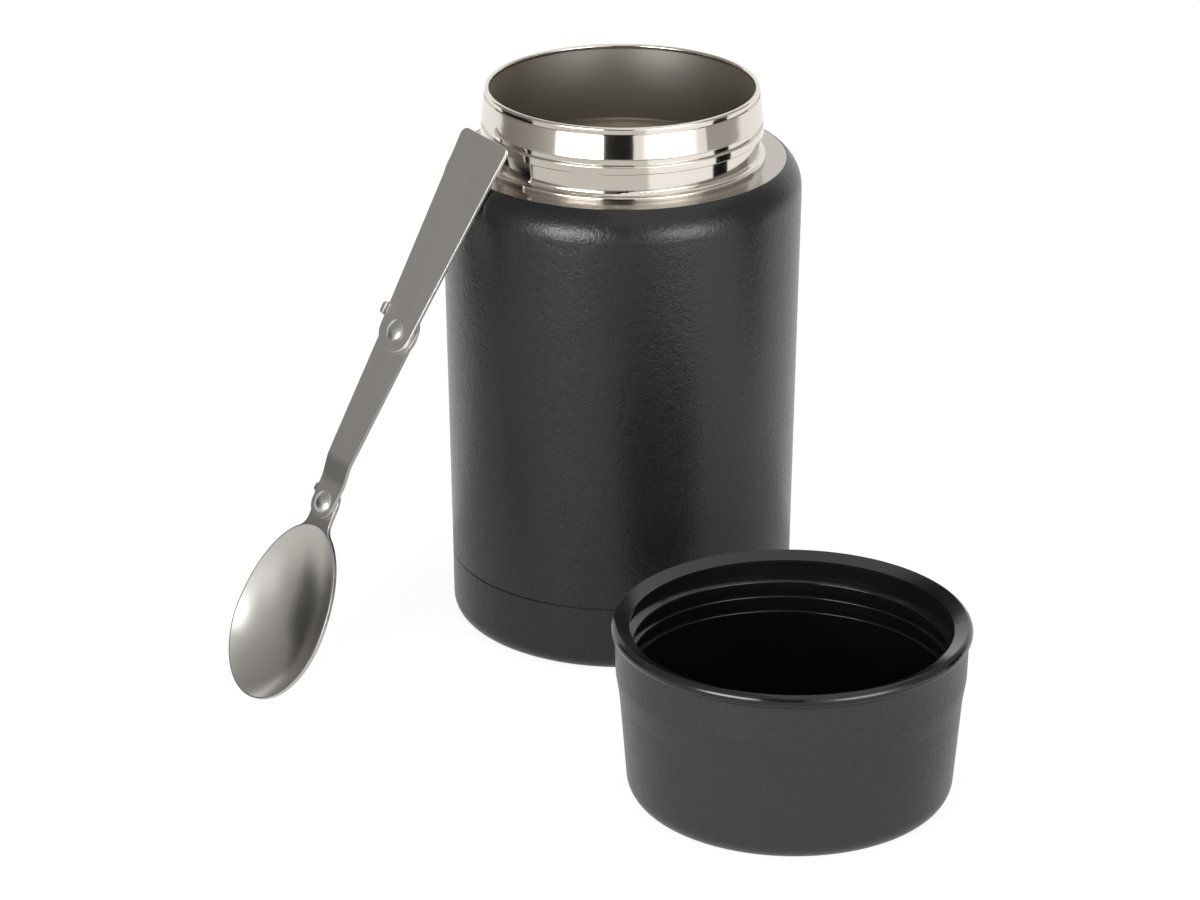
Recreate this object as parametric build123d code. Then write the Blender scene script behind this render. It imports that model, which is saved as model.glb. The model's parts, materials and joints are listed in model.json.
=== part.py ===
from build123d import *
from math import asin, cos, degrees, radians, sin, sqrt
import os

# Insulated food jar: a double-walled steel jar that stands open, its screw lid set down beside
# it as a bowl, and a folding spoon that leans on the jar's shoulder.
# Millimetres.  The origin is on the jar's axis, where its base meets the table, and +Z is up.

# ---- Jar: outside ----
body_radius = 47.5          # widest, just below the shoulder
jar_height = 148.9          # table to the top of the lip
neck_height = 19.4          # ledge to the top of the lip
shell_wall = 0.6
shoulder_round = 10.3       # radius of the shoulder's rounding
ledge_setback = 3.8         # from the widest radius in to the shoulder's sharp edge
straight_band = 3.5         # straight wall below the shoulder, above the taper
seam_height = 18.4          # table to the seam above the base cup
seam_taper = 1.7            # how much smaller the radius is at the seam
seam_groove = 0.25          # chamfer on each side of the seam
coat_rim = 0.25             # coated edge left around the ledge
ledge_seat = 2.0            # width of the flange under the ledge

# ---- Jar: base cup and vacuum bottom ----
cup_wall = 0.8
cup_taper = 0.2             # how much smaller the cup is at its foot
cup_corner = 5.0            # rounding between the cup's wall and its underside
spigot_depth = 7.4          # how far the shell reaches down inside the cup
bottom_rise = 4.0           # height of the vacuum bottom's skirt
pit_radius = 5.0            # pressed pit around the pump-out hole
pit_depth = 1.5
pump_hole = 1.0             # radius of the pump-out hole
plug_thick = 1.0
getter_radius = 4.0
getter_thick = 2.0
getter_offset = 22.0        # from the axis

# ---- Jar: neck and liner ----
ledge_width = 8.7           # from the shoulder's sharp edge in to the neck's clear bore
liner_wall = 0.5
lip_width = 1.2             # across the welded lip
lip_height = 1.0
neck_skin = 1.0             # from the bore to the outside of the plain neck
band_top_step = 0.4         # the flared band, proud of the plain neck at its top
band_foot_step = 1.3        # and at its foot
band_drop = 1.9             # lip top to the band's top
band_height = 6.6
groove_step = 0.6           # groove between band and bead, proud of the plain neck
groove_height = 1.5
bead_height = 2.4
wall_step = 0.25            # wall below the bead, proud of the plain neck
foot_bead_step = 1.9        # raised bead at the neck's foot
foot_bead_height = 1.1
foot_sweep = 1.2            # hollow rounding above the foot bead
neck_round = 0.35           # rounding of the neck's proud edges
vacuum_gap = 3.4            # shell to liner at the widest radius
liner_shoulder_gap = 0.1    # foot of the neck ring to the liner's rounding below it
liner_shoulder_round = 6.3
liner_neck_round = 1.5
liner_floor = 23.5          # table to the underside of the liner
liner_corner = 12.0
shield_wall = 0.15
shield_margin = 8.0         # bare liner wall above and below the shield

# ---- Bowl lid, upside down beside the jar ----
lid_x = 41.8
lid_y = -115.0
lid_height = 47.0
rim_past_ledge = 1.3        # rolled rim, at its widest, past the ledge that it closes on
rim_crest_in = 1.2          # from the widest radius in to the crest
rim_crest_drop = 1.8        # crest to the widest radius
rim_depth = 3.5             # crest to the rim's underside
rim_overhang = 0.9          # rim past the outer shell
lid_shell_wall = 0.6
lid_air_gap = 0.6           # between the lid's two shells
lid_liner_wall = 1.6
lid_taper_top = 0.35        # shell's draw-in from the rim down to the step
lid_step = 0.93             # shell's draw-in over the soft step
lid_step_top = 33.4
lid_step_height = 6.0
lid_foot_taper = 2.25       # draw-in from the step to the foot
lid_foot_round = 6.0
lid_step_round = 12.0
opening_lip = 0.9           # rim's inner edge past the wall below it
opening_drop = 1.5          # crest to that inner edge
thread_pitch = 4.1
thread_turns = 3
thread_height = 1.7
thread_base = 2.6
thread_crest = 0.7
thread_drop = 5.4           # crest of the rim to the upper end of the thread
thread_inset = 0.3          # its helix, in from the wall's widest radius
thread_root_depth = 0.5     # foot of the thread outside its helix, in the wall that it is one with

# ---- Folding spoon ----
plate = 1.0                 # thickness of all three spoon pieces
plate_edge = 0.18           # rounding of their edges
link_length = 49.0          # rivet to rivet
link_head = 7.0             # round head at the upper rivet
link_top_half = 6.6
link_foot_half = 4.4
joggle_place = 9.0          # middle of the joggle, above the lower rivet
joggle_run = 5.5
joggle_round = 10.0
handle_past = 15.8          # handle past the place that rests on the shoulder
handle_end_half = 10.0
handle_corner = 2.2
handle_root_half = 6.48
handle_root_length = 5.7    # rivet to the handle's round foot
tang_radius = 4.6
tang_sweep = 4.0            # hollow rounding between tang and bowl
bowl_half = 17.95
bowl_station = 33.64        # rivet to the bowl's widest place
bowl_neck_length = 27.36    # widest place to the egg's end at the tang
bowl_tip_length = 21.08     # widest place to the tip
bowl_depth = 7.0
bowl_cap = 0.3              # share of a whole ellipsoid's half that the hollow takes up
bowl_rim = 0.4              # rim around the hollow
bowl_turn = 4.6             # degrees that the bowl is turned from the link
rivet_radius = 1.5
rivet_flange = 3.0
rivet_flange_thick = 0.3
rivet_dome = 2.8
rivet_dome_height = 0.8
rivet_tail = 2.5
rivet_tail_height = 0.8
lug_thick = 1.0
lug_round = 0.8             # outside of the lug's bend
lug_corner = 1.1            # rounding of the lug's two free corners
handle_lug_proud = 0.9      # link's lug above the handle that it stops
bowl_lug_proud = -0.2       # tang's lug above the link that it stops
handle_lug_foot = 2.0       # link's lug, from the upper rivet along the handle
handle_lug_length = 3.6
bowl_lug_foot = 1.0         # tang's lug, from the lower rivet along the link
bowl_lug_length = 2.8

# ---- Fits ----
push_gap = 0.05             # radial, between pieces pushed together
running_gap = 0.05          # radial, rivet in a piece that turns on it
tight_gap = 0.02            # radial, rivet in the piece that holds it
layer_gap = 0.2             # between spoon pieces that turn on each other
head_gap = 0.1              # under a rivet head that lets its piece turn
stop_gap = 0.15             # lug to the edge that it stops
fold_gap = 0.3              # lower rivet's head to the handle folded over it
lean_gap = 0.25             # spoon to the jar's shoulder

# ---- How the spoon leans ----
lean_bearing = 51.2         # degrees from -Y towards -X, to the place where it leans
lean_slope = 29.37          # degrees that the spoon's front is tilted up
lean_roll = 4.16            # degrees that the link is turned from the steepest line
lean_shift = -11.42         # upper rivet, sideways from the place where it leans

# ---- Worked out from the sizes above ----
ledge_z = jar_height - neck_height
ledge_radius = body_radius - ledge_setback
mouth_radius = ledge_radius - ledge_width
seam_radius = body_radius - seam_taper
shoulder_centre = body_radius - shoulder_round
shoulder_z = ledge_z - sqrt(shoulder_round**2 - (ledge_radius - shoulder_centre)**2)
spigot_radius = seam_radius - cup_wall - push_gap
spigot_foot = seam_height - spigot_depth
bottom_top = spigot_foot + bottom_rise
liner_radius = body_radius - shell_wall - vacuum_gap
liner_shoulder = ledge_z - shell_wall - liner_shoulder_gap - liner_neck_round
lip_bottom = jar_height - lip_height
rim_radius = ledge_radius + rim_past_ledge
lid_shell_top = lid_height - rim_depth
lid_shell_radius = rim_radius - rim_overhang
lid_skin = lid_shell_wall + lid_air_gap
thread_root = lid_shell_radius - lid_skin - lid_liner_wall
opening_radius = thread_root - opening_lip
handle_back = layer_gap / 2
handle_front = handle_back + plate
link_back = -layer_gap / 2 - plate
joggle_depth = rivet_flange_thick + rivet_dome_height + fold_gap - layer_gap
link_foot_back = link_back - joggle_depth
link_foot_front = link_foot_back + plate
tang_back = link_foot_back - layer_gap - plate
tang_front = tang_back + plate


def turned(outline):
    """Solid of revolution about Z from a closed half section, drawn with x as the radius."""
    return revolve(Plane.XZ * make_face(outline), Axis.Z)


def ring(inner, outer, bottom, top):
    """Plain ring, or a disc when the inner radius is 0."""
    return turned(Polyline((inner, bottom), (outer, bottom), (outer, top), (inner, top), close=True))


def edges_at(solid, height, radius):
    """Circular edges that lie at one height and have one radius."""
    level = solid.edges().filter_by_position(Axis.Z, height - 0.001, height + 0.001)
    return level.filter_by(GeomType.CIRCLE).filter_by(lambda edge: abs(edge.radius - radius) < 0.001)


# ---- Jar ----

def jar_form(inset, bottom, top):
    """Filled form of the jar's body, drawn in by the inset, between two heights."""
    round_radius = shoulder_round - inset
    widest = body_radius - inset
    rise = degrees(asin((top - shoulder_z) / round_radius))
    shoulder = CenterArc((shoulder_centre, shoulder_z), round_radius, 0, rise)
    wall = Polyline((0, top), (0, bottom), (seam_radius - inset, bottom),
                    (widest, shoulder_z - straight_band), (widest, shoulder_z))
    return turned(wall + shoulder + Line(shoulder @ 1, (0, top)))


def outer_shell():
    """Coated shell: tapered wall, rounded shoulder, a flange under the ledge, a spigot below."""
    flange_top = ledge_z - shell_wall
    form = jar_form(0, seam_height, ledge_z)
    form = chamfer(edges_at(form, seam_height, seam_radius), seam_groove)
    form += ring(0, spigot_radius, spigot_foot, seam_height)
    hollow = jar_form(shell_wall, seam_height + shell_wall, flange_top - shell_wall)
    hollow += ring(0, spigot_radius - shell_wall, spigot_foot, seam_height + shell_wall)
    seat = ring(0, ledge_radius - coat_rim, flange_top, ledge_z)
    throat = ring(0, ledge_radius - coat_rim - ledge_seat, flange_top - shell_wall, ledge_z)
    return form - hollow - seat - throat


def neck_ring():
    """Polished neck: a flat ledge, a foot bead, a wall, a bead, a groove and a flared band."""
    plain = mouth_radius + neck_skin
    inside = mouth_radius + liner_wall + push_gap
    wall = plain + wall_step
    foot = plain + foot_bead_step
    bead = plain + band_foot_step
    groove = plain + groove_step
    ledge = ledge_radius - coat_rim - push_gap
    ledge_foot = ledge_z - shell_wall
    foot_top = ledge_z + foot_bead_height
    band_top = jar_height - band_drop
    band_foot = band_top - band_height
    bead_top = band_foot - groove_height
    bead_foot = bead_top - bead_height
    neck = turned(Polyline(
        (inside, lip_bottom), (inside, ledge_foot), (ledge, ledge_foot), (ledge, ledge_z), (foot, ledge_z),
        (foot, foot_top), (wall, foot_top), (wall, bead_foot), (bead, bead_foot), (bead, bead_top),
        (groove, bead_top), (groove, band_foot), (bead, band_foot), (plain + band_top_step, band_top),
        (plain, band_top), (plain, lip_bottom), close=True))
    proud = edges_at(neck, bead_foot, bead) + edges_at(neck, bead_top, bead)
    proud += edges_at(neck, band_foot, bead) + edges_at(neck, foot_top, foot)
    neck = fillet(proud, neck_round)
    return fillet(edges_at(neck, foot_top, wall), foot_sweep)


def bottle(inset, top):
    """Filled form of the liner, drawn in by the inset: floor, wall, rounded shoulder and neck."""
    neck = mouth_radius + liner_wall - inset
    body = liner_radius - inset
    floor = liner_floor + inset
    shoulder = liner_shoulder - inset
    rounds = [liner_corner - inset, liner_shoulder_round - inset, liner_neck_round + inset]
    line = FilletPolyline((0, floor), (body, floor), (body, shoulder), (neck, shoulder), (neck, top),
                          radius=rounds)
    return turned(line + Polyline((neck, top), (0, top), (0, floor)))


def inner_liner():
    """Polished vessel that holds the food, with a rounded lip welded over the neck's top."""
    lip = ring(mouth_radius, mouth_radius + lip_width, lip_bottom, jar_height)
    edges = edges_at(lip, jar_height, mouth_radius) + edges_at(lip, jar_height, mouth_radius + lip_width)
    lip = fillet(edges, 0.48 * lip_width)
    return bottle(0, lip_bottom) - bottle(liner_wall, jar_height) + lip


def copper_shield():
    """Thin copper wrap on the liner's straight wall."""
    inner = liner_radius + push_gap
    bottom = liner_floor + liner_corner + shield_margin
    top = liner_shoulder - liner_shoulder_round - shield_margin
    return ring(inner, inner + shield_wall, bottom, top)


def vacuum_bottom():
    """Plate with a skirt that closes the shell, and a pressed pit with the pump-out hole."""
    edge = spigot_radius - shell_wall - push_gap
    plate_foot = bottom_top - shell_wall
    pit_top = plate_foot + pit_depth
    solid = ring(0, edge, spigot_foot, bottom_top)
    solid = fillet(edges_at(solid, bottom_top, edge), 1.5 * shell_wall)
    solid -= ring(0, edge - shell_wall, spigot_foot, plate_foot)
    solid += ring(0, pit_radius + shell_wall, plate_foot, pit_top + shell_wall)
    solid -= ring(0, pit_radius, plate_foot, pit_top)
    return solid - ring(0, pump_hole, pit_top, pit_top + shell_wall)


def seal_plug():
    """Solder button in the pit, with a stem in the pump-out hole."""
    pit_top = bottom_top - shell_wall + pit_depth
    button = ring(0, pit_radius - push_gap, pit_top - plug_thick, pit_top)
    return button + ring(0, pump_hole - push_gap, pit_top, pit_top + shell_wall)


def getter():
    """Small pill of metal on the vacuum bottom, which takes up stray gas."""
    pill = ring(0, getter_radius, bottom_top, bottom_top + getter_thick)
    pill = fillet(edges_at(pill, bottom_top + getter_thick, getter_radius), getter_thick / 4)
    return Pos(getter_offset, 0, 0) * pill


def base_cup():
    """Coated cup pushed on over the spigot, with a flat underside."""
    inner = seam_radius - cup_wall
    outside = FilletPolyline((0, 0), (seam_radius - cup_taper, 0), (seam_radius, seam_height),
                             radius=cup_corner)
    inside = FilletPolyline((0, cup_wall), (inner, cup_wall), (inner, seam_height),
                            radius=cup_corner - cup_wall / 2)
    solid = turned(outside + Polyline((seam_radius, seam_height), (0, seam_height), (0, 0)))
    solid = chamfer(edges_at(solid, seam_height, seam_radius), seam_groove)
    return solid - turned(inside + Polyline((inner, seam_height), (0, seam_height), (0, cup_wall)))


# ---- Bowl lid ----

def lid_wall(inset, top):
    """Half section of the lid's wall, drawn in by the inset: foot, soft step and upper wall."""
    upper = lid_shell_radius - inset
    step_top = upper - lid_taper_top
    step_foot = step_top - lid_step
    foot = step_foot - lid_foot_taper
    flare = lid_taper_top * (top - lid_step_top) / (lid_shell_top - lid_step_top)
    return FilletPolyline((0, inset), (foot, inset), (step_foot, lid_step_top - lid_step_height),
                          (step_top, lid_step_top), (step_top + flare, top),
                          radius=[lid_foot_round - inset / 2, lid_step_round, lid_step_round])


def lid_form(inset):
    """Filled form of the lid's outside, drawn in by the inset."""
    wall = lid_wall(inset, lid_shell_top)
    return turned(wall + Polyline(wall @ 1, (0, lid_shell_top), (0, inset)))


def lid_bowl_shell():
    """Coated outer shell of the lid."""
    return Pos(lid_x, lid_y, 0) * (lid_form(0) - lid_form(lid_shell_wall))


def rim():
    """Filled form of the rolled rim: a sloping face inside, a crest, and a rounded lip outside."""
    crest = (rim_radius - rim_crest_in, lid_height)
    widest = (rim_radius, lid_height - rim_crest_drop)
    under = (lid_shell_radius, lid_shell_top)
    edge = (opening_radius, lid_height - opening_drop)
    return turned(
        TangentArc(widest, crest, tangent=(0, 1)) + TangentArc(widest, under, tangent=(0, -1))
        + Polyline(under, (0, lid_shell_top), (0, edge[1]), edge, crest))


def lid_hollow():
    """Inside of the bowl, up through the opening, which has a small lip."""
    floor = lid_skin + lid_liner_wall
    lip = lid_height - opening_drop - opening_lip
    wall = lid_wall(floor, lip - opening_lip)
    return turned(wall + Polyline(wall @ 1, (opening_radius, lip), (opening_radius, lid_height),
                                  (0, lid_height), (0, floor)))


def thread():
    """Rounded right-hand thread on the inside wall."""
    height = thread_turns * thread_pitch
    helix = Helix(thread_pitch, height, thread_root - thread_inset)
    path = Pos(0, 0, lid_height - thread_drop - height) * Rot(0, 0, -90) * helix
    tip = thread_crest / 2
    flank = (thread_base - thread_crest) / 2 / thread_height
    foot = tip + flank * (thread_height + thread_root_depth)
    section = make_face(Polyline((thread_root_depth, -foot), (-thread_height, -tip), (-thread_height, tip),
                                 (thread_root_depth, foot), close=True))
    section = fillet(section.vertices().group_by(Axis.X)[0], thread_crest / 3)
    place = Plane(origin=path @ 0, x_dir=(0, -1, 0), z_dir=path % 0)
    return sweep(place * section, path=path, is_frenet=True)


def lid_bowl_liner():
    """Glossy inner bowl with the rim and the thread, moulded in one."""
    bowl = lid_form(lid_skin) + rim() - lid_hollow()
    return Pos(lid_x, lid_y, 0) * (bowl + thread())


# ---- Where the spoon leans ----

def bowl_place():
    """Place of the bowl's rim in the spoon's drawing, turned at the lower rivet."""
    return Pos(0, -link_length, tang_front) * Rot(0, 0, bowl_turn) * Pos(0, -bowl_station, 0)


def spoon_place():
    """Plane of the spoon's drawing, and how far up its handle the shoulder is.

    The handle's back lies on the shoulder, and the tip of the bowl's rim stands on the table.
    """
    bearing = radians(lean_bearing)
    slope = radians(lean_slope)
    roll = radians(lean_roll)
    outward = Vector(-sin(bearing), -cos(bearing), 0)
    across = Vector(cos(bearing), -sin(bearing), 0)
    front = outward * cos(slope) + Vector(0, 0, sin(slope))
    steepest = outward * -sin(slope) + Vector(0, 0, cos(slope))
    side = across * cos(roll) - steepest * sin(roll)
    rim = Plane(Plane(origin=(0, 0, 0), x_dir=side, z_dir=front).location * bowl_place())
    rim_back = rim.origin.Z - plate * rim.z_dir.Z
    rivet_z = Vector(bowl_half * rim.x_dir.Z, bowl_tip_length * rim.y_dir.Z).length - rim_back
    reach = shoulder_centre * cos(slope) + shoulder_z * sin(slope) + shoulder_round + lean_gap - handle_back
    climb = (rivet_z - reach * sin(slope)) / cos(slope)
    rest = shoulder_z * cos(slope) - shoulder_centre * sin(slope)
    place = Plane(origin=front * reach + steepest * climb + across * lean_shift, x_dir=side, z_dir=front)
    return place, rest - climb


spoon_plane, shoulder_reach = spoon_place()
handle_length = shoulder_reach + handle_past


# ---- Folding spoon: drawn flat, the upper rivet at the origin, the handle along +Y, front up ----

def plate_of(plan, back):
    """Flat piece of the spoon with rounded edges, its back at the given level."""
    solid = extrude(plan, plate)
    rims = solid.edges().group_by(Axis.Z)
    return Pos(0, 0, back) * fillet(rims[0] + rims[-1], plate_edge)


def rivet_hole(y, gap):
    """Cutter for a rivet's hole, this far along the spoon."""
    return Pos(0, y, 0) * Cylinder(rivet_radius + gap, 40 * plate)


def lug(edge, foot, length, back, top):
    """Tab bent forward beside the edge that it stops."""
    inner = edge - stop_gap
    outer = inner - lug_thick
    tab_end = -rivet_radius - plate
    section = make_face(Polyline((tab_end, back), (outer, back), (outer, top), (inner, top),
                                 (inner, back + plate), (tab_end, back + plate), close=True))
    bend = section.vertices().sort_by_distance((outer, back))[0]
    section = fillet(bend, lug_round)
    tab = extrude(Plane.XZ.offset(-foot) * section, -length)
    return fillet(tab.edges().filter_by(Axis.X).group_by(Axis.Z)[-1], lug_corner)


def spoon_handle():
    """Flat handle, round at its rivet and wider towards its end."""
    blade = make_face(Polyline((-handle_root_half, 0), (handle_root_half, 0),
                               (handle_end_half, handle_length), (-handle_end_half, handle_length),
                               close=True))
    blade = fillet(blade.vertices().group_by(Axis.Y)[-1], handle_corner)
    blade += Ellipse(handle_root_half, handle_root_length)
    return plate_of(blade, handle_back) - rivet_hole(0, running_gap)


def link_plan():
    """Outline of the link: a tapered strap, round about both rivets."""
    strap = make_face(Polyline((-link_top_half, 0), (-link_foot_half, -link_length),
                               (link_foot_half, -link_length), (link_top_half, 0), close=True))
    return strap + Circle(link_head) + Pos(0, -link_length) * Circle(link_foot_half)


def spoon_link():
    """Link with a joggle, so that the folded handle clears the lower rivet, and with a stop lug."""
    bend_top = joggle_place + joggle_run / 2 - link_length
    bend_foot = bend_top - joggle_run
    end = 2 * link_head
    side = make_face(Polyline(
        (end, link_back), (end, link_back + plate), (bend_top, link_back + plate),
        (bend_foot, link_foot_front), (-link_length - end, link_foot_front),
        (-link_length - end, link_foot_back), (bend_foot, link_foot_back), (bend_top, link_back),
        close=True))
    bends = side.vertices().filter_by_position(Axis.X, bend_foot - 0.001, bend_top + 0.001)
    strap = extrude(Plane.YZ * fillet(bends, joggle_round), end, both=True)
    link = strap & (Pos(0, 0, link_foot_back) * extrude(link_plan(), plate + joggle_depth))
    widening = (handle_end_half - handle_root_half) / handle_length
    stopped = handle_root_half + widening * (handle_lug_foot + handle_lug_length)
    link += lug(-stopped, handle_lug_foot, handle_lug_length, link_back, handle_front + handle_lug_proud)
    return link - rivet_hole(0, tight_gap) - rivet_hole(-link_length, tight_gap)


def egg(half, neck_length, tip_length, depth):
    """Egg-shaped cap below its rim's plane, widest at the origin, with its tip towards -Y."""
    reach = depth / bowl_cap
    spread = 1 / sqrt(1 - (1 - bowl_cap)**2)
    size = 4 * neck_length
    tip = Pos(0, 0, reach - depth) * scale(Sphere(1), by=(half * spread, tip_length * spread, reach))
    neck = Pos(0, 0, reach - depth) * scale(Sphere(1), by=(half * spread, neck_length * spread, reach))
    tip &= Pos(0, -size / 2, -size / 2) * Box(size, size, size)
    neck &= Pos(0, size / 2, -size / 2) * Box(size, size, size)
    return tip + neck


def egg_plan(half, neck_length, tip_length):
    """Outline of the egg at its rim."""
    size = 4 * neck_length
    tip = Ellipse(half, tip_length) & Pos(0, -size / 2) * Rectangle(size, size)
    neck = Ellipse(half, neck_length) & Pos(0, size / 2) * Rectangle(size, size)
    return tip + neck


def spoon_bowl():
    """Spoon's bowl with its tang and the tang's stop lug."""
    neck = Pos(0, bowl_station / 2) * Rectangle(2 * tang_radius, bowl_station)
    neck += Pos(0, bowl_station) * Circle(tang_radius)
    plan = egg_plan(bowl_half, bowl_neck_length, bowl_tip_length) + neck
    corners = plan.vertices().filter_by(lambda corner: abs(abs(corner.X) - tang_radius) < 0.001)
    plan = fillet(corners.group_by(Axis.Y)[0], tang_sweep)
    outside = egg(bowl_half, bowl_neck_length, bowl_tip_length, bowl_depth)
    bowl = Pos(0, 0, -plate) * (extrude(plan, plate) + outside)
    bowl -= egg(bowl_half - bowl_rim, bowl_neck_length - bowl_rim, bowl_tip_length - bowl_rim, bowl_depth)
    rims = bowl.edges().filter_by_position(Axis.Z, -0.001, 0.001)
    bowl = fillet(rims, min(plate_edge, 0.45 * bowl_rim))
    widening = (link_top_half - link_foot_half) / link_length
    stopped = link_foot_half + widening * (bowl_lug_foot + bowl_lug_length)
    stop = lug(-stopped, bowl_lug_foot, bowl_lug_length, tang_back, link_foot_front + bowl_lug_proud)
    return bowl_place() * bowl + Pos(0, -link_length, 0) * stop - rivet_hole(-link_length, running_gap)


def rivet(head_seat, tail_seat):
    """Rivet with a flanged, domed head in front and a flat tail behind."""
    flange_top = head_seat + rivet_flange_thick
    dome_radius = (rivet_dome**2 + rivet_dome_height**2) / (2 * rivet_dome_height)
    spread = degrees(asin(rivet_dome / dome_radius))
    dome = CenterArc((0, flange_top + rivet_dome_height - dome_radius), dome_radius, 90 - spread, spread)
    cap = turned(dome + Polyline(dome @ 1, (0, flange_top), dome @ 0))
    flange = ring(0, rivet_flange, head_seat, flange_top)
    flange = fillet(edges_at(flange, flange_top, rivet_flange), rivet_flange_thick / 2)
    tail = ring(0, rivet_tail, tail_seat - rivet_tail_height, tail_seat)
    tail = fillet(edges_at(tail, tail_seat - rivet_tail_height, rivet_tail), rivet_tail_height / 2)
    return cap + flange + tail + ring(0, rivet_radius, tail_seat, head_seat)


def handle_rivet():
    """Upper rivet: held by the link, with the handle turning on it."""
    return rivet(handle_front + head_gap, link_back)


def bowl_rivet():
    """Lower rivet: held by the link, with the tang turning on it."""
    return Pos(0, -link_length, 0) * rivet(link_foot_front, tang_back - head_gap)


nodes = {
    "outer_shell": outer_shell(),
    "neck_ring": neck_ring(),
    "inner_liner": inner_liner(),
    "copper_shield": copper_shield(),
    "vacuum_bottom": vacuum_bottom(),
    "seal_plug": seal_plug(),
    "getter": getter(),
    "base_cup": base_cup(),
    "lid_bowl_shell": lid_bowl_shell(),
    "lid_bowl_liner": lid_bowl_liner(),
    "spoon_handle": spoon_plane.location * spoon_handle(),
    "spoon_link": spoon_plane.location * spoon_link(),
    "spoon_bowl": spoon_plane.location * spoon_bowl(),
    "handle_rivet": spoon_plane.location * handle_rivet(),
    "bowl_rivet": spoon_plane.location * bowl_rivet(),
}

os.makedirs("parts", exist_ok=True)
for name, solid in nodes.items():
    export_step(solid, f"parts/{name}.step")
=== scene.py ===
import json
import math

import bpy
from mathutils import Matrix, Vector

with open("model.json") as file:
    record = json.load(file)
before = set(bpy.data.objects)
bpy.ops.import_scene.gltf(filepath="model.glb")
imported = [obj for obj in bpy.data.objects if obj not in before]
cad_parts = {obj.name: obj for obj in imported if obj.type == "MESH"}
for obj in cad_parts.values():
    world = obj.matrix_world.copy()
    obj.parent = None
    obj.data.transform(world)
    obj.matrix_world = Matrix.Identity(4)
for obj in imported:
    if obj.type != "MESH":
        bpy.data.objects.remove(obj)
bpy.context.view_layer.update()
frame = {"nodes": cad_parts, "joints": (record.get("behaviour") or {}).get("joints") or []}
bpy.ops.object.select_all(action="DESELECT")

# ---- Coat: jar's outer shell, base cup and the lid's outer shell ----
# Deep-drawn steel under a black powder coat, baked to a fine orange-peel grain. The shell and
# the cup meet in a narrow seam, and the cup is pushed on over the shell's spigot.


class Wire:
    """A socket of a material. Maths on wires adds Math nodes, and node() adds any other node."""

    def __init__(self, tree, socket=None):
        self.tree = tree
        self.socket = socket

    def node(self, kind, settings=None, inputs=None, output=0):
        made = self.tree.nodes.new("ShaderNode" + kind)
        for name, value in (settings or {}).items():
            setattr(made, name, value)
        for name, value in (inputs or {}).items():
            if isinstance(value, Wire):
                self.tree.links.new(value.socket, made.inputs[name])
            else:
                made.inputs[name].default_value = value
        return Wire(self.tree, made.outputs[output])

    def maths(self, operation, *values):
        return self.node("Math", {"operation": operation}, dict(enumerate(values)))

    def __add__(self, other):
        return self.maths("ADD", self, other)

    def __radd__(self, other):
        return self.maths("ADD", other, self)

    def __sub__(self, other):
        return self.maths("SUBTRACT", self, other)

    def __rsub__(self, other):
        return self.maths("SUBTRACT", other, self)

    def __mul__(self, other):
        return self.maths("MULTIPLY", self, other)

    def __rmul__(self, other):
        return self.maths("MULTIPLY", other, self)

    def __pow__(self, other):
        return self.maths("POWER", self, other)

    def __rpow__(self, other):
        return self.maths("POWER", other, self)

    def __abs__(self):
        return self.maths("ABSOLUTE", self)

    def clip(self, low, high):
        """0 at low, 1 at high, even between them and clamped outside; low may be the larger."""
        return self.node("MapRange", {}, {"Value": self, "From Min": low, "From Max": high})

    def noise(self, scale, detail, rough):
        inputs = {"Vector": self, "Scale": scale, "Detail": detail, "Roughness": rough}
        return self.node("TexNoise", {}, inputs)

    def stretch(self, x, y, z):
        """The same place with its three directions scaled."""
        return self.node("VectorMath", {"operation": "MULTIPLY"}, {0: self, 1: (x, y, z)})

    def blend(self, low, high):
        """From one colour to another as this wire goes from 0 to 1."""
        return self.node("Mix", {"data_type": "RGBA"}, {0: self, 6: (*low, 1), 7: (*high, 1)}, 2)

    def bump(self, height):
        """Normal of a surface whose relief is this wire times height, in metres."""
        return self.node("Bump", {}, {"Height": self, "Distance": height})


def finish(name):
    """A new, empty material, and the wire of the place on the object."""
    material = bpy.data.materials.new(name)
    material.use_nodes = True
    material.node_tree.nodes.clear()
    place = Wire(material.node_tree).node("TexCoord", output="Object")
    return material, place


def shade(material, place, **sockets):
    """Principled shader of the material, with its sockets' values or wires."""
    inputs = {name.replace("_", " "): value for name, value in sockets.items()}
    close(material, place.node("BsdfPrincipled", {}, inputs))


def close(material, shader):
    """Ends the material with this shader."""
    output = material.node_tree.nodes.new("ShaderNodeOutputMaterial")
    material.node_tree.links.new(shader.socket, output.inputs["Surface"])


def dress(material, *names):
    """Gives the CAD pieces of these names the material."""
    for name in names:
        for place in frame["nodes"][name].material_slots:
            place.material = material


def powder_coat(name, dark, light):
    """Black powder coat between two shades, with a fine grain over a slower orange peel."""
    coat, place = finish(name)
    grain = place.noise(1300, 2, 0.6)
    peel = place.noise(420, 2, 0.5)
    cloud = place.noise(38, 3, 0.55)
    shade(coat, place,
          Base_Color=(cloud * 0.6 + grain * 0.4).blend(dark, light),
          Roughness=0.22 + peel * 0.06 + grain * 0.06,
          Specular_IOR_Level=0.44,
          Normal=(grain + peel * 0.6).bump(0.00011))
    return coat


dress(powder_coat("jar_coat", (0.0075, 0.0075, 0.0077), (0.0115, 0.0113, 0.0112)), "outer_shell", "base_cup")
# The lid's shell takes a lighter copy of the same coat: the extra lightness is painted light on the lid.
dress(powder_coat("lid_coat_painted_lighter", (0.022, 0.0215, 0.0212), (0.030, 0.0292, 0.0287)), "lid_bowl_shell")

# ---- Neck ----
# Bright stainless steel, rolled with its beads and polished on a lathe, which leaves faint
# rings. The flat ledge at its foot stays satin, and its colour there is darkened as painted
# shade. The neck is welded to the liner at the lip.

ledge_height = 0.1295
ledge_near = 0.0001
ledge_off = 0.0003


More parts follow.
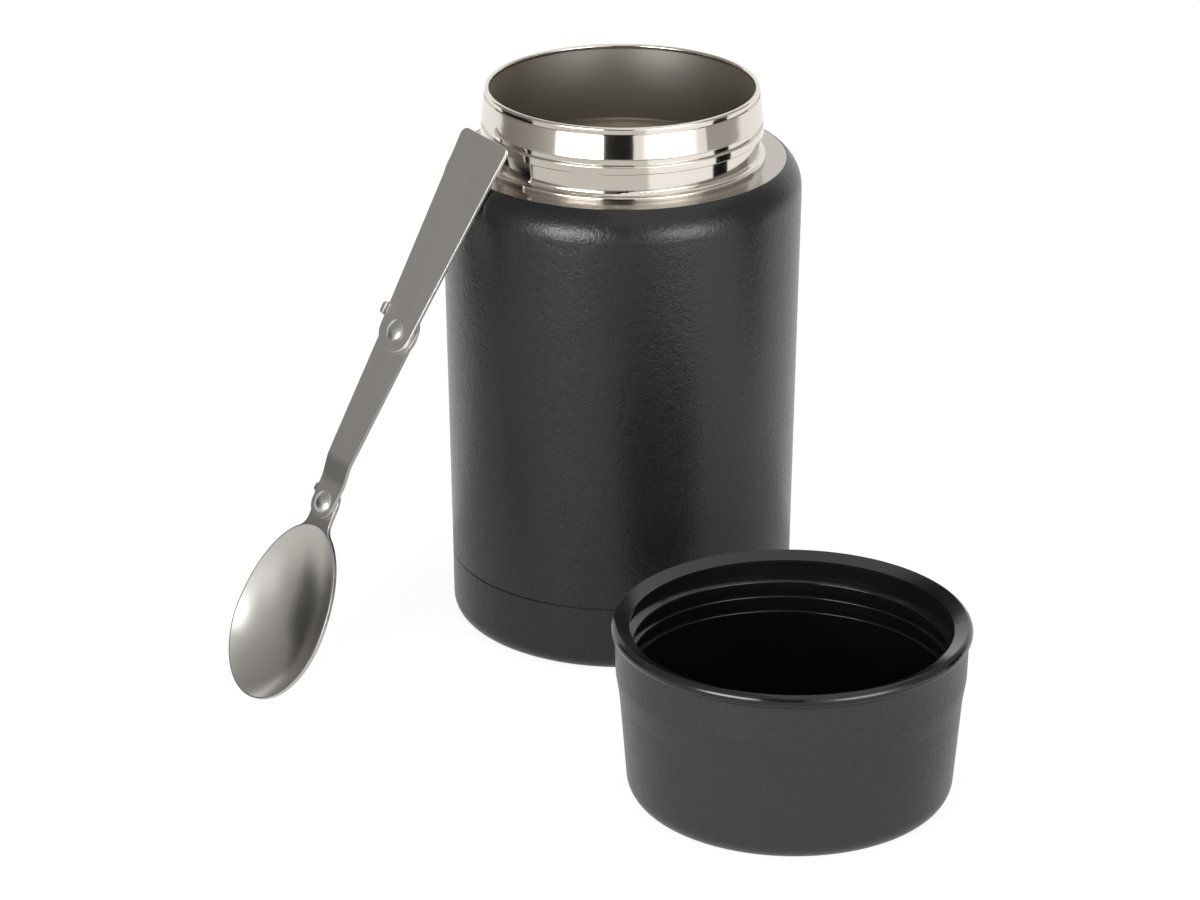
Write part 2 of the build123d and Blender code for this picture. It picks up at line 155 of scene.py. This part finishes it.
def turned_place(place):
    """Height of the place, and a vector of its distance from the jar's axis and that height."""
    height = place.node("SeparateXYZ", {}, {"Vector": place}, "Z")
    radius = place.node("VectorMath", {"operation": "LENGTH"}, {0: place.stretch(1, 1, 0)}, "Value")
    return height, place.node("CombineXYZ", {}, {"X": radius, "Y": height})


polish, place = finish("polished_steel")
height, rings = turned_place(place)
lathe = rings.noise(2600, 3, 0.6)
wear = place.noise(60, 4, 0.6)
# 0 on the ledge, 1 elsewhere: on the ledge the colour is darkened as painted shade, and the roughness is
#                              raised for its real satin finish.
off_satin_painted_shade_ledge = abs(height - ledge_height).clip(ledge_near, ledge_off)
shade(polish, place,
      Base_Color=(wear * 0.3 + off_satin_painted_shade_ledge * 0.7).blend((0.42, 0.39, 0.35), (0.80, 0.75, 0.68)),
      Metallic=1.0,
      Roughness=0.17 + wear * 0.03 + lathe * 0.03 - off_satin_painted_shade_ledge * 0.12,
      Normal=lathe.bump(0.000002))
dress(polish, "neck_ring")

# ---- Liner ----
# Drawn stainless steel vessel that holds the food. Its inside is satin from the lathe, and its
# lip is rounded and polished bright where it meets the neck.

lip_start = 0.1475
lip_full = 0.1482

vessel, place = finish("liner_steel")
height, rings = turned_place(place)
turned = rings.noise(2200, 3, 0.6)
wear = place.noise(60, 4, 0.6)
lip = height.clip(lip_start, lip_full)
shade(vessel, place,
      Base_Color=wear.blend((0.70, 0.66, 0.60), (0.78, 0.74, 0.67)),
      Metallic=1.0,
      Roughness=0.3 + wear * 0.05 + turned * 0.06 - lip * 0.26,
      Normal=turned.bump(0.000004))
dress(vessel, "inner_liner")

# ---- Inside the double wall ----
# Copper foil wrapped on the liner, the plain steel plate that closes the vacuum, the solder
# button in its pump-out hole and the getter pill welded beside it.

foil, place = finish("copper_foil")
crease = place.noise(240, 3, 0.6)
shade(foil, place,
      Base_Color=crease.blend((0.78, 0.40, 0.26), (0.88, 0.52, 0.36)),
      Metallic=1.0,
      Roughness=0.2 + crease * 0.15,
      Normal=crease.bump(0.00005))
dress(foil, "copper_shield")

mill, place = finish("plain_steel")
scale_marks = place.noise(400, 4, 0.6)
shade(mill, place,
      Base_Color=scale_marks.blend((0.50, 0.49, 0.48), (0.62, 0.61, 0.60)),
      Metallic=1.0,
      Roughness=0.35 + scale_marks * 0.15,
      Normal=scale_marks.bump(0.00001))
dress(mill, "vacuum_bottom", "getter")

tin, place = finish("solder")
ripple = place.noise(700, 2, 0.5)
shade(tin, place,
      Base_Color=ripple.blend((0.55, 0.55, 0.56), (0.70, 0.70, 0.71)),
      Metallic=1.0,
      Roughness=0.3 + ripple * 0.2,
      Normal=ripple.bump(0.00004))
dress(tin, "seal_plug")

# ---- Bowl lid's inside ----
# Glossy black plastic, moulded in one with the rolled rim and the thread, and pushed into the
# coated shell.

moulded, place = finish("black_plastic")
haze = place.noise(90, 4, 0.6)
fine = place.noise(1500, 2, 0.5)
shade(moulded, place,
      Base_Color=haze.blend((0.007, 0.007, 0.007), (0.012, 0.0118, 0.0115)),
      Roughness=0.1 + haze * 0.06 + fine * 0.03,
      Normal=fine.bump(0.000004))
dress(moulded, "lid_bowl_liner")

# ---- Folding spoon ----
# Three pieces stamped from 1 mm stainless sheet. Handle and link are brushed along their length,
# the bowl is pressed and polished, and two domed rivets join them.

joints = {joint["name"]: joint for joint in frame["joints"]}
upper = Vector(joints["handle_fold"]["pos_m"])
lower = Vector(joints["bowl_fold"]["pos_m"])
along = (upper - lower).normalized()
front = Vector(joints["bowl_fold"]["axis"]).normalized()
side = along.cross(front).normalized()
spoon_turn = Matrix((side, along, front)).transposed().to_euler()


def spoon_finish(name):
    """A material, and the place in the spoon's own directions: across, along, and out of its front."""
    material, place = finish(name)
    own = {"Vector": place, "Location": upper, "Rotation": spoon_turn}
    return material, place.node("Mapping", {"vector_type": "TEXTURE"}, own)


brushed, place = spoon_finish("brushed_steel")
stroke = place.stretch(1, 0.02, 1).noise(5200, 3, 0.65)
band = place.stretch(1, 0.05, 1).noise(700, 2, 0.5)
shade(brushed, place,
      Base_Color=(stroke * 0.6 + band * 0.4).blend((0.60, 0.585, 0.56), (0.74, 0.72, 0.69)),
      Metallic=1.0,
      Roughness=0.3 + stroke * 0.12,
      Normal=stroke.bump(0.000004))
dress(brushed, "spoon_handle", "spoon_link")

bright, place = spoon_finish("polished_spoon")
smear = place.noise(140, 4, 0.6)
lines = place.stretch(1, 0.04, 1).noise(3500, 3, 0.6)
shade(bright, place,
      Base_Color=smear.blend((0.63, 0.61, 0.585), (0.71, 0.69, 0.66)),
      Metallic=1.0,
      Roughness=0.25 + smear * 0.05 + lines * 0.03,
      Normal=lines.bump(0.0000004))
dress(bright, "spoon_bowl")

headed, place = spoon_finish("rivet_steel")
dent = place.noise(900, 3, 0.6)
shade(headed, place,
      Base_Color=dent.blend((0.60, 0.59, 0.575), (0.70, 0.69, 0.675)),
      Metallic=1.0,
      Roughness=0.26 + dent * 0.1,
      Normal=dent.bump(0.000012))
dress(headed, "handle_rivet", "bowl_rivet")

# ---- Studio ----
# A white table, a white room and soft lamps. Cards, glows and a mat that only gloss sees give
# the steel its edges. None of them is part of the object.

table_radius = 3.2
middle = Vector((0.01, -0.05, 0.07))
white = (1, 1, 1, 1)


def by_ray(place):
    """1 where the camera, a gloss or a clear piece sees the studio, 0 where it only sends light."""
    seen = [place.node("LightPath", output=f"Is {ray} Ray") for ray in ("Camera", "Glossy", "Transmission")]
    return place.maths("MAXIMUM", place.maths("MAXIMUM", seen[0], seen[1]), seen[2])


def glowing(place, colour, strength):
    """Emission of one colour and strength."""
    return place.node("Emission", {}, {"Color": colour, "Strength": strength})


bpy.ops.mesh.primitive_circle_add(vertices=96, radius=table_radius, fill_type="NGON", location=(0, 0, 0))
table = bpy.context.object
table.name = "table_top"
tabletop, place = finish("white_table")
shaded = place.node("BsdfDiffuse", {}, {"Color": (0.34, 0.34, 0.34, 1)})
shown = place.node("AddShader", {}, {0: shaded, 1: glowing(place, white, 0.88)})
plain = place.node("BsdfDiffuse", {}, {"Color": (0.8, 0.8, 0.8, 1)})
close(tabletop, place.node("MixShader", {}, {0: by_ray(place), 1: plain, 2: shown}))
table.data.materials.append(tabletop)


def aim(bearing, lift, distance):
    """Place at a bearing from -Y towards +X and a lift off the table, and the turn that faces the object."""
    turn = math.radians(bearing)
    rise = math.radians(lift)
    away = Vector((math.sin(turn) * math.cos(rise), -math.cos(turn) * math.cos(rise), math.sin(rise)))
    return middle + away * distance, away.to_track_quat("Z", "Y")


def gloss_sheet(name, centre, turn, width, height):
    """A flat sheet that only gloss sees, its empty material and the wire of the place on it."""
    bpy.ops.mesh.primitive_plane_add(size=1, location=centre, rotation=turn)
    sheet = bpy.context.object
    sheet.name = name
    sheet.scale = (width, height, 1)
    bpy.ops.object.transform_apply(location=True, rotation=True, scale=True)
    material, place = finish(name)
    sheet.data.materials.append(material)
    sheet.visible_camera = False
    sheet.visible_diffuse = False
    sheet.visible_shadow = False
    return sheet, material, place


def offset(place, centre, way):
    """How far the place lies from the centre along a direction."""
    along_it = place.node("VectorMath", {"operation": "DOT_PRODUCT"}, {0: place, 1: way}, "Value")
    return along_it - centre.dot(way)


def card(name, bearing, lift, distance, width, height, left, right):
    """A card from one brightness at its left edge to another at its right, slightly warm."""
    centre, facing = aim(bearing, lift, distance)
    _, paper, place = gloss_sheet(name, centre, facing.to_euler(), width, height)
    share = offset(place, centre, facing @ Vector((1, 0, 0))).clip(-width / 2, width / 2) ** 3.0
    low, high = (glowing(place, (1, 0.97, 0.94, 1), strength) for strength in (left, right))
    close(paper, place.node("MixShader", {}, {0: share, 1: low, 2: high}))


card("card_front", -4, 14, 0.8, 0.36, 0.62, 0.015, 0.015)
card("card_left", -94, 2, 0.8, 1.25, 0.36, 0.22, 0.6)
card("card_left_high", -80, 46, 0.8, 1.9, 1.0, 0.26, 0.9)
card("card_right", 100, 20, 0.8, 0.9, 0.9, 0.4, 0.4)
card("card_left_low", -104, -5, 0.3, 0.2, 0.09, 0.01, 0.01)
card("card_right_low", 95, -5, 0.27, 0.08, 0.09, 0.01, 0.01)

_, felt, place = gloss_sheet("grey_mat", (-0.275, -0.275, 0.0005), (0, 0, 0), 0.85, 0.65)
close(felt, glowing(place, (0.7, 0.69, 0.67, 1), 1.0))


def softbox(name, bearing, lift, distance, width, height, radiance):
    """A glow, brightest in its middle and clear at its edges."""
    centre, facing = aim(bearing, lift, distance)
    box, cloth, place = gloss_sheet(name, centre, facing.to_euler(), width, height)
    across = abs(offset(place, centre, facing @ Vector((1, 0, 0)))).clip(width / 2, width / 6) ** 3.0
    upward = abs(offset(place, centre, facing @ Vector((0, 1, 0)))).clip(height / 2, height / 6) ** 3.0
    clear = place.node("BsdfTransparent", {}, {"Color": white})
    lit = place.node("AddShader", {}, {0: glowing(place, white, radiance), 1: clear})
    close(cloth, place.node("MixShader", {}, {0: across * upward, 1: clear, 2: lit}))
    return box


def reach_bowl(emitter, state):
    """Lets a glow reach the spoon's bowl alone (INCLUDE), or all but the spoon's bowl (EXCLUDE)."""
    reached = bpy.data.collections.new(emitter.name + "_reach")
    reached.objects.link(frame["nodes"]["spoon_bowl"])
    reached.collection_objects[0].light_linking.link_state = state
    emitter.light_linking.receiver_collection = reached


reach_bowl(softbox("softbox_left", -36, 7, 1.0, 1.2, 0.75, 12.0), "EXCLUDE")
reach_bowl(softbox("softbox_spoon", -22, 23, 0.6, 0.34, 0.4, 4.0), "INCLUDE")
softbox("softbox_right", 40, 7, 1.0, 1.1, 0.75, 7.0)


def lamp(name, bearing, lift, distance, width, height, radiance):
    """A lamp of one radiance that faces the object, and that gloss doesn't show."""
    centre, facing = aim(bearing, lift, distance)
    data = bpy.data.lights.new(name, "AREA")
    data.shape = "RECTANGLE"
    data.size = width
    data.size_y = height
    data.energy = radiance * math.pi * width * height
    made = bpy.data.objects.new(name, data)
    made.location = centre
    made.rotation_euler = facing.to_euler()
    made.visible_camera = False
    made.visible_glossy = False
    bpy.context.scene.collection.objects.link(made)


lamp("lamp_left", -35, 6, 1.0, 0.62, 0.36, 11.0)
lamp("lamp_right", 42, 6, 1.0, 0.50, 0.36, 7.0)
lamp("lamp_top", 20, 80, 1.0, 0.6, 0.6, 2.0)

room = bpy.data.worlds.new("white_room")
bpy.context.scene.world = room
room.use_nodes = True
room.node_tree.nodes.clear()
start = Wire(room.node_tree)
wall = by_ray(start).blend((0.25, 0.25, 0.25), (1, 1, 1))
background = start.node("Background", {}, {"Color": wall, "Strength": 1.0})
output = room.node_tree.nodes.new("ShaderNodeOutputWorld")
room.node_tree.links.new(background.socket, output.inputs["Surface"])

eye_place = (-0.00583, -1.2, 0.5387)
eye_tilt = 67.65

eye = bpy.data.cameras.new("camera")
eye.sensor_width = 36
eye.lens = 143.91
eye.clip_start = 0.05
eye.clip_end = 20
camera = bpy.data.objects.new("camera", eye)
camera.location = eye_place
camera.rotation_euler = (math.radians(eye_tilt), 0, 0)
bpy.context.scene.collection.objects.link(camera)
bpy.context.scene.camera = camera
bpy.context.scene.view_settings.view_transform = "Standard"
